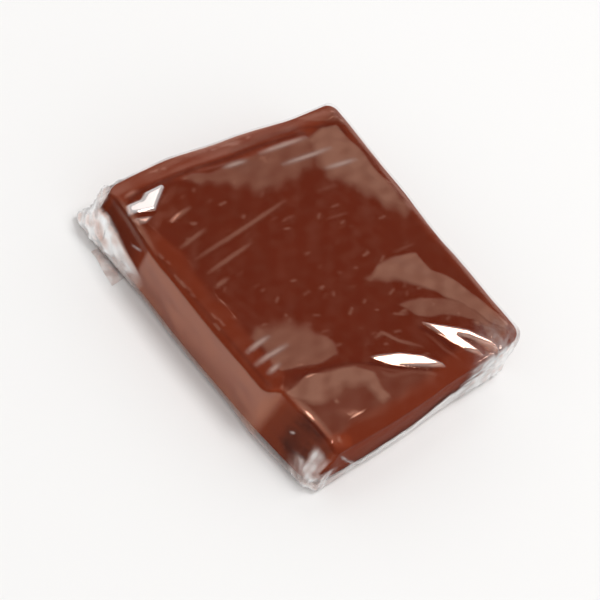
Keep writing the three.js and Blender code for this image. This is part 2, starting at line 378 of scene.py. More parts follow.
def add_node(nodes, kind, inputs=(), **settings):
    """A new shader node, with its settings and the numbers and colours in its sockets."""
    node = nodes.new("ShaderNode" + kind)
    for name, value in settings.items():
        setattr(node, name, value)
    for socket, value in dict(inputs).items():
        node.inputs[socket].default_value = value
    return node


def mix_colours(nodes, **colours):
    """A node that mixes two colours, A and B, by its Factor."""
    return add_node(nodes, "Mix", colours, data_type="RGBA")


def join(links, *routes):
    """Link outputs to inputs, each given as (node, output, node, input)."""
    for start, out, end, into in routes:
        links.new(start.outputs[out], end.inputs[into])


def uneven_surface():
    """Soft waves and a fine pitting: Height for a bump, and Patches for colour and gloss."""
    group = bpy.data.node_groups.new("uneven_surface", "ShaderNodeTree")
    nodes, sockets = group.nodes, group.interface
    for name, value in (("Wave Size", 300.0), ("Pit Size", 1500.0), ("Pit Share", 0.3)):
        socket = sockets.new_socket(name, in_out="INPUT", socket_type="NodeSocketFloat")
        socket.default_value = value
    for name in ("Height", "Patches"):
        sockets.new_socket(name, in_out="OUTPUT", socket_type="NodeSocketFloat")
    given, made = nodes.new("NodeGroupInput"), nodes.new("NodeGroupOutput")
    place = add_node(nodes, "TexCoord")
    waves = add_node(nodes, "TexNoise", {"Detail": 3.0, "Distortion": 0.4})
    pits = add_node(nodes, "TexVoronoi")
    round_pits = add_node(nodes, "MapRange", {"From Max": 0.22})
    mixed = add_node(nodes, "Mix")
    join(group.links,
         (place, "Object", waves, "Vector"), (place, "Object", pits, "Vector"),
         (given, "Wave Size", waves, "Scale"), (given, "Pit Size", pits, "Scale"),
         (pits, "Distance", round_pits, "Value"), (given, "Pit Share", mixed, "Factor"),
         (waves, "Fac", mixed, "A"), (round_pits, "Result", mixed, "B"),
         (mixed, "Result", made, "Height"), (waves, "Fac", made, "Patches"))
    return group


UNEVEN_SURFACE = uneven_surface()


def new_material(name):
    """A material with an empty node tree and its output node."""
    material = bpy.data.materials.new(name)
    material.use_nodes = True
    nodes, links = material.node_tree.nodes, material.node_tree.links
    nodes.clear()
    return material, nodes, links, add_node(nodes, "OutputMaterial")


def caramel_material():
    """Dense, satin caramel: two close browns in soft patches, made redder and lighter at the rim
    and walls by painted light, and darker by painted shade.
    """
    material, nodes, links, output = new_material("chocolate caramel")
    body = add_node(nodes, "BsdfPrincipled", {
        "Roughness": 0.42, "Specular IOR Level": 0.01, "Subsurface Weight": 0.12,
        "Subsurface Radius": (1.0, 0.25, 0.12), "Subsurface Scale": 1.2 * MM})
    surface = add_node(nodes, "Group", {"Wave Size": 260.0, "Pit Size": 900.0, "Pit Share": 0.10},
                       node_tree=UNEVEN_SURFACE)
    browns = mix_colours(nodes, A=DARK_CARAMEL, B=MID_CARAMEL)
    # Painted light: redder and lighter at the rim and on the walls.
    light_mark = add_node(nodes, "Attribute", attribute_name="painted_light")
    lit = mix_colours(nodes, B=LIT_CARAMEL)
    # Painted shade: darker on the pressed-in facet and along the folds, and darker by the left
    # corner.
    shade_mark = add_node(nodes, "Attribute", attribute_name="painted_shade")
    darker = mix_colours(nodes, B=SHADED_CARAMEL)
    gloss = add_node(nodes, "MapRange", {"To Min": 0.34, "To Max": 0.52})
    bump = add_node(nodes, "Bump", {"Strength": 0.2, "Distance": 0.12 * MM})
    join(links,
         (surface, "Patches", browns, "Factor"), (browns, "Result", lit, "A"),
         (light_mark, "Fac", lit, "Factor"), (lit, "Result", darker, "A"),
         (shade_mark, "Fac", darker, "Factor"), (darker, "Result", body, "Base Color"),
         (surface, "Patches", gloss, "Value"), (gloss, "Result", body, "Roughness"),
         (surface, "Height", bump, "Height"), (bump, "Normal", body, "Normal"),
         (body, "BSDF", output, "Surface"))
    return material


caramel.data.materials.append(caramel_material())
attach(caramel, "root")
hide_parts("caramel_slab")

# ==== The film round it ==========================================================================
# One sheet of clear, crisp cellophane drawn round the slab. It clings to the middle of the top,
# stands off it in soft pockets of air near the sides, and creases where it turns the corners.

FILM_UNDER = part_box("film_wrapper")[0][2] / MM + 0.2  # the sheet under the slab, above its laps
FILM_TIGHT = 0.36  # how far the sheet stands outside the cut size
# The corner radii of the sheet, at its foot and at its top, in the order of the slab's corners.
FILM_ROUND = np.array([[0.4, 1.2, 0.6, 0.4], [1.7, 0.8, 1.2, 0.8]])
FILM_EDGES = (0.3, 0.22)  # how far its foot and its upper edge are rounded
LIP = (0.62, 3.4)         # how far it flares out at the foot, and from what height
TUCK = (0.24, 0.03)       # where an end's tucks end, at the foot and top, as shares
FLAP_STEP = 0.16          # an end's outer flap stands this far off its tucks
FILM_GRID = (240, 189)    # mesh squares along the sides and along the ends
FILM_STEPS = 34           # mesh squares up the walls
UNDER_COARSE = 3          # the underside's squares are this many times wider

# Pockets of air under the sheet: how slack, and the outline in plan with the softness of its edge.
AIR_POCKETS = [
    (0.46, [(-15.3, -6.9, 0.4), (-15.3, -5.3, 0.3), (-14.9, -3.0, 0.3), (-14.6, -0.9, 0.3),
            (-14.4, 1.7, 0.3), (-14.2, 4.4, 0.3), (-13.6, 7.5, 0.3), (-13.3, 11.0, 0.3),
            (-11.8, 11.0, 0.7), (-9.6, 8.0, 0.9), (-9.4, 5.4, 0.9), (-8.9, 2.0, 0.7),
            (-9.2, 0.5, 1.0), (-9.6, -1.1, 1.0), (-11.0, -1.9, 1.0), (-12.3, -2.9, 1.0),
            (-12.9, -4.5, 0.9), (-13.3, -5.7, 0.7), (-14.3, -6.7, 0.6)]),
    (0.88, [(-13.3, 9.8, 0.7), (-13.6, 12.7, 0.3), (-13.0, 14.5, 0.3), (-10.4, 14.7, 0.3),
            (-8.5, 14.8, 0.3), (-4.2, 15.2, 0.4), (-3.8, 13.8, 0.9), (-6.4, 11.8, 1.0),
            (-7.2, 10.4, 1.0), (-8.1, 8.8, 1.0), (-9.5, 8.0, 1.0), (-11.0, 8.6, 1.0)]),
    (0.78, [(-11.7, 12.9, 0.5), (-10.3, 14.6, 0.3), (-6.5, 15.0, 0.3), (-3.9, 15.0, 0.4),
            (-0.4, 14.9, 0.9), (0.3, 13.2, 1.2), (-1.0, 11.7, 1.1), (-3.4, 11.4, 0.9),
            (-4.8, 10.6, 0.9), (-6.3, 9.3, 0.9), (-8.2, 8.2, 0.9)]),
    (0.22, [(-7.6, 6.0, 0.5), (-7.2, 8.9, 0.5), (-6.4, 8.9, 0.5), (-6.8, 6.0, 0.5)]),
    (0.10, [(-3.9, 9.0, 0.5), (-2.7, 11.1, 0.5), (-1.2, 10.8, 0.5), (-1.7, 8.9, 0.5)]),
    (0.30, [(-18.9, -11.0, 0.4), (-19.2, -8.0, 0.4), (-18.8, -4.0, 0.4), (-18.3, 0.0, 0.4),
            (-17.7, 5.0, 0.4), (-17.0, 10.5, 0.4), (-16.3, 10.3, 0.4), (-16.6, 6.0, 0.5),
            (-16.9, 2.0, 0.5), (-17.2, -1.5, 0.5), (-17.5, -5.0, 0.5), (-18.0, -9.0, 0.5)]),
    (0.30, [(-16.4, 10.5, 0.6), (-15.6, 15.2, 0.5), (-12.5, 16.0, 0.5), (-13.6, 14.0, 0.4),
            (-14.9, 11.6, 0.4)]),
    (0.84, [(4.1, 2.4, 0.9), (3.8, 4.2, 0.5), (3.4, 5.4, 0.4), (3.4, 8.5, 0.25),
            (4.4, 10.9, 0.25), (6.7, 10.8, 0.25), (9.6, 12.5, 0.25), (11.8, 13.2, 0.25),
            (14.4, 13.9, 0.25), (16.3, 14.2, 0.3), (17.0, 13.0, 0.4), (15.3, 11.9, 0.4),
            (12.9, 11.4, 0.4), (11.7, 10.7, 0.4), (10.6, 9.6, 0.4), (9.4, 9.3, 0.4),
            (7.8, 8.0, 0.5), (6.9, 6.8, 0.6), (6.2, 5.8, 0.8), (5.6, 4.6, 0.7), (4.9, 3.0, 0.7)]),
    (0.56, [(8.6, 3.9, 0.4), (8.5, 5.6, 0.4), (8.8, 7.1, 0.4), (10.3, 9.4, 0.4),
            (11.5, 11.3, 0.4), (12.7, 11.8, 0.4), (15.3, 12.1, 0.4), (16.8, 13.1, 0.3),
            (17.2, 12.3, 0.4), (15.5, 11.2, 0.4), (13.9, 10.4, 0.4), (12.9, 9.2, 0.3),
            (12.0, 7.7, 0.3), (11.4, 6.3, 0.3), (10.5, 5.1, 0.3), (9.4, 4.3, 0.3)]),
    (0.56, [(2.7, -12.2, 0.9), (3.8, -8.8, 0.9), (5.4, -6.1, 0.9), (6.6, -6.1, 0.7),
            (8.9, -5.5, 0.5), (10.4, -6.2, 0.3), (10.0, -9.6, 0.25), (8.8, -13.3, 0.3),
            (7.5, -13.8, 0.6), (5.5, -13.8, 0.6), (4.0, -13.9, 0.7)]),
    (0.20, [(10.7, -15.0, 0.2), (10.6, -11.5, 0.2), (11.5, -7.8, 0.2), (12.1, -5.6, 0.2),
            (13.6, -3.7, 0.25), (14.8, -1.2, 0.3), (17.0, 2.6, 0.4), (18.0, 1.7, 0.7),
            (18.2, -5.4, 0.7), (17.8, -11.1, 0.6), (17.6, -13.6, 0.4), (12.8, -14.4, 0.3)]),
    (0.94, [(10.7, -14.8, 0.2), (10.5, -11.5, 0.2), (11.5, -7.8, 0.2), (12.2, -5.5, 0.2),
            (13.8, -4.3, 0.4), (15.6, -4.8, 0.6), (16.7, -4.4, 0.6), (17.6, -4.3, 0.8),
            (17.4, -5.9, 0.9), (16.4, -7.1, 0.9), (15.2, -7.4, 0.9), (14.2, -8.6, 1.0),
            (14.6, -11.0, 1.2), (14.2, -13.4, 1.0), (12.0, -14.6, 0.5)]),
    (0.34, [(13.5, -4.0, 0.4), (14.8, -1.2, 0.3), (16.2, 1.4, 0.3), (17.0, 2.6, 0.4),
            (17.5, 2.1, 0.4), (15.6, -1.9, 0.5), (14.7, -3.9, 0.4)]),
    (0.45, [(14.2, 11.0, 0.5), (16.8, 13.6, 0.4), (17.6, 12.8, 0.4), (18.0, 9.5, 0.4),
            (17.1, 9.6, 0.4), (16.3, 10.4, 0.5)]),
]
POCKET_RISE = 0.06     # how high a full pocket stands
POCKET_SHOULDER = 2.8  # how far inside its outline a pocket reaches its full height
MOST_SLACK = 0.86
STRAY = 0.22                      # how far a pocket's edge strays from its outline
PULL = np.array([0.743, -0.669])  # the way in plan in which its soft edge runs out in fingers
FINGER_SIZE = (2.1, 0.22)         # how wide the fingers are, and that as a share of their length

# Flat facets that the creased sheet makes over the top: outline, a point on the facet, how far it
# stands above the sheet there, its slope, and how slack and how white the sheet is in it.
FACETS = [
    ([(12.0, -4.0), (12.3, -2.6), (13.2, -0.2), (14.7, 2.0), (16.8, 3.8), (16.2, 2.2),
      (14.9, -0.1), (13.4, -2.6)], (14.0, -1.6), 0.02, (-0.256, 0.175), 1.0, 0.2),
    ([(11.6, 5.2), (13.2, 7.2), (14.8, 9.0), (16.8, 10.3), (18.4, 11.0), (17.0, 9.7),
      (15.4, 8.5), (14.6, 7.6), (15.8, 8.1), (17.7, 8.9), (16.6, 7.6), (15.2, 6.7)],
     (15.2, 6.7), 0.02, (-0.20, 0.24), 1.0, 0.2),
    ([(-15.5, -14.1), (-15.3, -12.4), (-15.8, -11.4), (-15.7, -9.3), (-15.4, -9.3),
      (-14.1, -11.3), (-13.6, -12.0), (-14.2, -13.6), (-14.6, -14.6)],
     (-14.1, -11.3), 0.24, (0.10, 0.13), 0.1, 0.7),
    ([(-13.9, -14.7), (-13.0, -12.9), (-12.7, -14.0), (-13.0, -14.5)],
     (-13.1, -13.1), 0.10, (0.10, 0.13), 0.60, 0.15),
]

# Lines in the sheet over the top: half width, height, how slack, and their routes in plan.
LINES = [
    (0.20, 0.02, 0.22, [
        [(10.6, -15.5), (10.7, -12.4), (11.2, -9.0), (12.0, -5.9), (13.4, -3.6)],
        [(-15.4, -5.5), (-14.7, -1.8), (-14.3, 1.6), (-14.1, 4.0), (-13.4, 9.8)],
        [(12.6, -4.9), (15.4, -0.8), (17.4, 2.9)],
        [(8.7, -13.2), (9.9, -9.7), (10.2, -6.4)],
        [(-1.5, -13.6), (0.1, -13.0)], [(0.8, -13.6), (1.6, -13.4)],
        [(3.1, 8.7), (3.3, 11.8)], [(12.7, 4.6), (15.5, 5.2), (16.9, 6.0)],
        [(-5.9, 0.2), (-5.8, 1.6)], [(-3.7, 4.6), (-3.3, 7.3)],
    ]),
    (0.50, 0.0, 0.75, [
        [(10.8, -14.5), (12.8, -14.2), (15.2, -13.8), (17.8, -13.7)],
    ]),
    (0.40, 0.0, 0.75, [
        [(-16.9, -14.2), (-14.4, -14.6), (-12.0, -15.0), (-9.4, -15.4)],
    ]),
    (0.28, 0.03, 0.50, [
        [(-18.6, -10.9), (-18.7, -8.6), (-18.3, -5.0), (-17.8, -1.2), (-17.4, 2.3), (-17.0, 6.0),
         (-16.5, 10.2), (-15.9, 15.6)],
        [(-17.2, 0.4), (-16.6, 3.6)], [(-16.6, 1.6), (-16.4, 3.1)],
        [(-16.5, -13.4), (-16.7, -11.9)], [(-15.2, 16.2), (-9.0, 15.9), (-3.0, 15.7)],
        [(-11.7, 12.3), (-10.2, 14.2)], [(-14.5, 15.9), (-7.5, 15.6)], [(-7.0, 15.5), (3.2, 14.9)],
        [(4.0, 14.8), (10.0, 14.4), (17.0, 14.4)],
    ]),
    (0.23, 0.008, 0.55, [
        [(-11.5, -11.4), (-12.0, -8.4)], [(-8.4, -12.7), (-9.0, -8.8)],
        [(-6.5, -12.3), (-7.2, -4.0), (-7.8, 1.9)], [(-4.5, -12.2), (-5.3, -5.2)],
        [(-2.7, -12.7), (-3.0, -10.7)],
        [(10.5, -1.1), (10.4, 0.1), (12.0, 1.1), (13.7, 2.9)],
    ]),
    (0.26, 0.008, 1.00, [
        [(-14.0, 3.8), (-13.3, 10.0)], [(-11.6, 5.1), (-10.9, 11.6)], [(-9.0, 9.4), (-8.4, 13.2)],
        [(-14.3, -1.3), (-14.0, 1.6)], [(5.1, -14.8), (4.8, -11.7)],
        [(6.7, -14.9), (6.6, -10.7)], [(8.2, -14.5), (8.0, -13.0)],
    ]),
    (0.30, 0.02, 0.80, [
        [(10.4, 6.0), (10.6, 6.4)], [(10.3, 7.6), (10.5, 8.1)], [(12.4, 9.5), (12.8, 9.9)],
        [(14.3, 10.7), (14.7, 11.1)], [(14.3, -10.6), (14.6, -10.3)],
        [(17.8, -13.2), (18.1, -13.0)], [(-14.8, 15.5), (-14.4, 15.3)],
        [(-14.0, 15.3), (-13.8, 14.9)], [(-13.3, 15.6), (-13.0, 15.4)],
    ]),
]
# Specks of light along the front's and the left end's upper edges: how many on each, where those
# edges run, how far off them, how slack, and each speck's half length and half width.
EDGE_GLINTS = 12
GLINT_EDGES = np.array([[(-14.0, -15.0), (3.0, -15.2)], [(-16.0, 14.0), (-18.0, -10.0)]])
EDGE_STRAY, EDGE_SLACK, EDGE_HALF, EDGE_WIDTH = 0.25, (0.15, 0.6), (0.1, 0.5), 0.15
# Short faint scratches of light over the top: how many, between which corners, in what direction
# (mean and spread, in radians), how long, how wide, how high and how slack.
GLINTS = 110
GLINT_AREA = [(-14, -13), (15, 12)]
GLINT_TURN, GLINT_LENGTH, GLINT_WIDTH = (1.7, 0.35), (0.2, 0.9), 0.16
GLINT_RISE, GLINT_SLACK = 0.01, (0.06, 0.44)


def inside_outline(points, outline):
    """How far each point lies inside an outline in plan (less than 0 outside), and where along."""
    x, y = points[:, 0], points[:, 1]
    closed = [corner[:2] for corner in outline] + [outline[0][:2]]
    gap, share = along_route(points, closed)
    crossings = np.zeros(len(points), dtype=bool)
    for (x0, y0), (x1, y1) in zip(closed[:-1], closed[1:]):
        spans = (y0 > y) != (y1 > y)
        with np.errstate(divide="ignore", invalid="ignore"):
            crossings ^= spans & (x < x0 + (y - y0) * (x1 - x0) / (y1 - y0))
    return np.where(crossings, gap, -gap), share


def crease(points, route, half_width):
    """How strongly a crease along a route shows at each point; it fades out at both ends."""
    gap, share = along_route(points, route)
    return np.exp(-(gap / half_width) ** 2) * np.sqrt(np.sin(math.pi * np.clip(share, 0.04, 0.96)))


def slackness(points):
    """How slack the sheet lies over each point of the top, from 0 to 1, and how far it rises."""
    stray = np.stack([waver(points, 5.0, 11), waver(points, 5.0, 12)], axis=1)
    moved = points[:, :2] + STRAY * stray
    across_pull = points[:, :2] @ (-PULL[1], PULL[0])
    along_pull = FINGER_SIZE[1] * (points[:, :2] @ PULL)
    fingers = np.column_stack([across_pull, along_pull, 0 * along_pull])
    fingers = waver(fingers, FINGER_SIZE[0], 15)
    slack = 0.02 + 0.025 * waver(points, 1.7, 14) + 0.02 * fingers
    rise = np.zeros(len(points))
    for much, outline in AIR_POCKETS:
        depth, share = inside_outline(moved, outline)
        softness = [corner[2] for corner in outline] + [outline[0][2]]
        soft = np.interp(share, np.linspace(0, 1, len(softness)), softness)
        ragged = smooth_step(soft, 0.45, 0.95)
        depth = depth + 0.3 * fingers * ragged
        soft = soft * (1 + 0.7 * ragged)
        slack = np.maximum(slack, much * smooth_step(depth / soft, -0.25, 1.1))
        rise = np.maximum(rise, POCKET_RISE * smooth_step(depth, -0.5, POCKET_SHOULDER))
    streaky = waver(points * (1, 0.3, 1), 1.1, 13)
    return np.minimum(slack * (0.88 + 0.13 * streaky + 0.14 * fingers), MOST_SLACK), rise


foot, top = FILM_UNDER, SLAB_CROWN + FILM_TIGHT
levels = []
for off, z in wall_levels(FILM_TIGHT, foot, top, *FILM_EDGES, FILM_STEPS):
    rounds = FILM_ROUND[0] + (FILM_ROUND[1] - FILM_ROUND[0]) * min(z / LIP[1], 1)
    levels.append((off, np.maximum(rounds + off - FILM_TIGHT, 0.25), z))
level, faces = slab_skin(levels, FILM_GRID, UNDER_COARSE)
x, y, z = level.T
skin = settle(level)
film = new_piece("film", skin, faces)
out_from = normals_of(film)
side_depths = inside_sides(level)
on_top = smooth_step(z, SLAB_CROWN, SLAB_CROWN + 0.3)
off_foot = smooth_step(z, FILM_UNDER, FILM_UNDER + 0.6)

slack, rise = slackness(skin)
rim_sheen = 0.13 + 0.06 * waver(skin * (1, 0.35, 1), 1.8, 16)
slack = np.maximum(slack, rim_sheen * (1 - smooth_step(inside_sides(skin)[3], 1.2, 1.8)))
edge_slack = np.zeros(len(level))
crumpled = np.zeros(len(level))
for half_width, height, much, routes in LINES:
    for route in routes:
        shape = crease(skin, route, half_width)
        rise += height * shape
        edge_slack = np.maximum(edge_slack, much * shape)
        crumpled = np.maximum(crumpled, max(much - 0.8, 0) * shape * on_top)
slack = np.maximum(slack, edge_slack)
rng = np.random.default_rng(7)
for start, end in GLINT_EDGES:
    for _ in range(EDGE_GLINTS):
        place = start + (end - start) * rng.uniform() + rng.normal(0, EDGE_STRAY, 2)
        half = rng.uniform(*EDGE_HALF) * (end - start) / np.hypot(*(end - start))
        gap = along_route(skin, [place - half, place + half])[0]
        slack = np.maximum(slack, rng.uniform(*EDGE_SLACK) * np.exp(-(gap / EDGE_WIDTH) ** 2))
for _ in range(GLINTS):
    start = rng.uniform(*GLINT_AREA)
    turn = rng.normal(*GLINT_TURN)
    end = start + rng.uniform(*GLINT_LENGTH) * np.array([math.cos(turn), math.sin(turn)])
    faint = np.exp(-(along_route(skin, [start, end])[0] / GLINT_WIDTH) ** 2)
    rise += GLINT_RISE * faint
    slack = np.maximum(slack, rng.uniform(*GLINT_SLACK) * faint)
slack *= smooth_step(side_depths.min(axis=0), -0.3, 0.15)
skin = skin + out_from * (on_top * rise + unevenness(level))[:, None]

# A facet lies on its own plane wherever that is higher than the sheet.
for outline, spot, above, (slope_x, slope_y), much, white in FACETS:
    depth = inside_outline(skin, outline)[0]
    off_spot = skin[:, :2] - np.array(spot)
    nearest = np.argmin(np.hypot(*off_spot.T) + 100 * (1 - on_top))
    plane = skin[nearest, 2] + above + slope_x * off_spot[:, 0] + slope_y * off_spot[:, 1]
    within = on_top * smooth_step(depth, -0.15, 0.15)
    lift = np.maximum(plane - skin[:, 2], 0) * within
    skin[:, 2] += lift
    within *= smooth_step(lift, 0, 0.03)
    slack = np.maximum(slack, much * within)
    crumpled = np.maximum(crumpled, white * within)

# On the front wall the sheet hangs slack, but clings by the left corner, above a line given by x
# and height, and at the pressed edge.
FRONT_SLACK = 0.56
WEDGE_FOOT = [(-16.4, 4.9), (-14.3, 4.4), (-11.5, 3.7), (-9.2, 3.0)]
PRESSED_CLINGS = 0.92  # how much of its slackness it loses at the pressed edge
walls = [smooth_step(-depth, 0.0, 0.3) * (1 - on_top) for depth in side_depths]
front_wall, right_wall, back_wall, left_wall = walls
wedge_foot = np.interp(x, *np.array(WEDGE_FOOT).T)
hangs = smooth_step(x, -10.4, -9.6)
hangs = np.maximum(hangs, 1 - smooth_step(z, wedge_foot - 0.3, wedge_foot))
hangs *= 1 - PRESSED_CLINGS * smooth_step(x, 10.0, 11.8)

# On the right wall it clings above a line, given by y and height, and hangs loose and hazy below
# it, most by the back corner. On the back and left walls it is loose in patches.
LOOSE_FOOT = [(-14.0, 0.7), (-2.0, 1.1), (3.0, 2.0), (8.0, 3.0), (11.5, 6.0)]
SIDE_SLACK = (0.14, 0.10)  # on those three walls: everywhere, and how much it varies
FOOT_SLACK = 0.35          # how much slacker in the loose foot of the right wall
PATCH_SLACK = 0.42         # and in the patches
WALL_RISE = (0.05, 0.05)   # how far the slack sheet stands off, and how that varies
loose_foot = np.interp(y, *np.array(LOOSE_FOOT).T) + 0.25 * waver(level, 3.0, 22)
clinging = right_wall * smooth_step(z, loose_foot, loose_foot + 0.7)
off_front = smooth_step(y, -13.0, -9.0)
side_slack = SIDE_SLACK[0] + SIDE_SLACK[1] * waver(level, 5.0, 23)
wall_slack = (1 - front_wall) * (1 - on_top) * side_slack * (1 - clinging)
wall_slack += FRONT_SLACK * front_wall * hangs
wall_slack += FOOT_SLACK * (right_wall - clinging) * off_front
patchy = smooth_step(waver(level * (1, 1, 0.5), 5.0, 25), -0.4, 0.9)
wall_slack += PATCH_SLACK * (back_wall + left_wall) * patchy
near_edge = smooth_step(z, SLAB_CROWN - 1.0, SLAB_CROWN - 0.3)
wall_slack = np.clip(np.maximum(wall_slack, 0.3 * near_edge * edge_slack), 0, 1) * (1 - on_top)
wall_rise = WALL_RISE[0] + WALL_RISE[1] * waver(level, 3.0, 24)
skin = skin + out_from * (off_foot * wall_rise * wall_slack)[:, None]

# The left end flares out towards the foot, and so does the sheet round the front right corner: on
# the right wall by a share of the lip that falls from the corner backwards, and on the front wall.
RIGHT_FLARE = (0.6, 0.2)  # the share that the corner adds, and the share further back
FRONT_FLARE = 0.45
low = np.clip(1 - z / LIP[1], 0, 1) ** 1.5
corner_flare = RIGHT_FLARE[1] + RIGHT_FLARE[0] * (1 - smooth_step(y, -13.0, -8.0))
front_flare = smooth_step(x, 6.0, 11.0) * (1 - 0.7 * smooth_step(x, 14.0, 18.0))
skin[:, 0] += (right_wall * corner_flare - left_wall) * LIP[0] * low
skin[:, 1] -= FRONT_FLARE * front_wall * front_flare * low

# Creases and specks of light on the front, right, back and left walls, by x or y and z: half width,
# how white, and their routes.
WALL_LINES = [
    [(0.13, 0.7, [(-12.3, 5.0), (-11.0, 5.9)]), (0.10, 0.5, [(14.0, 4.4), (14.3, 4.6)])],
    [(0.36, 1.3, [(-12.5, 1.2), (-5.0, 1.5), (0.0, 1.8), (5.0, 2.7), (9.0, 3.8)]),
     (0.45, 1.4, [(-10.0, 1.6), (-9.0, 1.7)]),
     (0.24, 1.2, [(6.5, 4.4), (10.5, 6.0), (13.2, 5.6)]),
     (0.22, 1.2, [(5.5, 3.2), (9.5, 4.2), (12.8, 4.6)])],
    [(0.15, 0.35, [(-8.5, 4.1), (-3.0, 5.2), (3.0, 5.7)]), (0.18, 0.30, [(-1.0, 0.9), (9.0, 2.6)]),
     (0.14, 0.35, [(9.4, 2.9), (12.8, 5.2)])],
    [(0.15, 0.35, [(-6.5, 4.2), (0.0, 5.1), (5.0, 5.2)]),
     (0.18, 0.30, [(-7.0, 0.9), (0.5, 2.4), (7.5, 3.0)])],
]

# Where it turns the corners the sheet is crumpled: plan place, reach, up to what height, how high
# the folds stand, and how white it looks.
CRUMPLES = [((-19.4, -15.9), 5.4, 6.9, 0.65, 1.0), ((-15.9, 15.9), 1.8, 6.9, 0.20, 0.35),
            ((19.3, 11.6), 3.8, 7.4, 0.45, 1.15), ((19.0, -15.8), 2.6, 3.6, 0.25, 0.9)]
# How white such a crumple is: everywhere, along its ridges, and how much that varies.
CRUMPLE_WHITE = (0.22, 0.62, 0.20)
RIDGE_SHARP = 2.5
TUCK_LINE = (0.45, 0.22)  # how white the edges of the tucks are, and their half width
stray = 0.14 * np.stack([waver(level, 2.4, 37), waver(level, 2.4, 38)], axis=1)
fading = 0.75 + 0.3 * waver(level, 3.5, 39)
for wall, axis, lines in zip(walls, (0, 1, 0, 1), WALL_LINES):
    for half_width, white, route in lines:
        shape = crease(level[:, [axis, 2]] + stray, route, half_width)
        crumpled = np.maximum(crumpled, wall * white * fading * shape)
leaning = level * (1, 1, 0.4) + np.outer(z, (0.5, -0.5, 0))
ridges = np.exp(-RIDGE_SHARP * np.abs(waver(leaning, 2.4, 31)))
ridges += 0.5 * np.exp(-RIDGE_SHARP * np.abs(waver(leaning, 1.1, 32)))
whiteness = CRUMPLE_WHITE[0] + CRUMPLE_WHITE[1] * ridges
whiteness += CRUMPLE_WHITE[2] * waver(leaning, 1.0, 34)
for middle, reach, high, height, white in CRUMPLES:
    near = np.exp(-(np.hypot(*(level[:, :2] - np.array(middle)).T) / reach) ** 4)
    near *= 1 - smooth_step(z, high - 0.6, high + 0.1)
    if middle[0] < 0 and middle[1] < 0:
        near *= 1 - front_wall * smooth_step(z, wedge_foot - 0.2, wedge_foot + 0.2)
    skin = skin + out_from * (off_foot * near * height * ridges / 1.5)[:, None]
    crumpled = np.maximum(crumpled, white * near * whiteness)

# Each end is closed like a parcel: an outer flap, narrower at the foot, over two slanting tucks.
for side, wall in ((1, right_wall), (3, left_wall)):
    start, end = PLAN[side], PLAN[(side + 1) % 4]
    length = np.hypot(*(end - start))
    along = (level[:, :2] - start) @ (end - start) / length
    tuck = length * (TUCK[0] + (TUCK[1] - TUCK[0]) * np.clip(z / SLAB_CROWN, 0, 1))
    from_tuck = np.minimum(along, length - along) - tuck
    flap = wall * smooth_step(from_tuck, -0.12, 0.12) * (1 - near_edge)
    skin = skin + out_from * (FLAP_STEP * off_foot * flap)[:, None]
    tuck_edge = wall * np.exp(-((from_tuck - 0.1) / TUCK_LINE[1]) ** 2) * (1 - near_edge)
    tuck_white = TUCK_LINE[0] * (0.7 + 0.3 * waver(level, 2.0, 36))
    crumpled = np.maximum(crumpled, tuck_white * tuck_edge)

# The hem by the left corner, along the right end and round the front right corner is white with
# creases too.
HEM_WHITE = 0.6
CORNER_WHITE = 1.2
hem = 1 - smooth_step(z, wedge_foot - 0.6, wedge_foot)
hem *= front_wall * (1 - smooth_step(x, -12.0, -8.5))
hem = np.maximum(hem, HEM_WHITE * (right_wall - clinging) * off_front)
hem = np.maximum(hem, HEM_WHITE * front_wall * (1 - smooth_step(z, 0.3, 0.8)))
band = smooth_step(x + 0.15 * z, 17.3, 18.3) * (1 - smooth_step(z, 4.6, 6.0))
upright = 0.7 + 0.3 * waver(level * (1, 1, 0.12), 0.8, 35)
hem = np.maximum(hem, CORNER_WHITE * front_wall * band * upright)
crumpled = np.maximum(crumpled, off_foot * hem * (0.75 + 0.25 * waver(level, 1.8, 33)))
reshape_piece(film, skin)
mark(film, "slack", on_top * slack + wall_slack)
mark(film, "crumpled", crumpled)


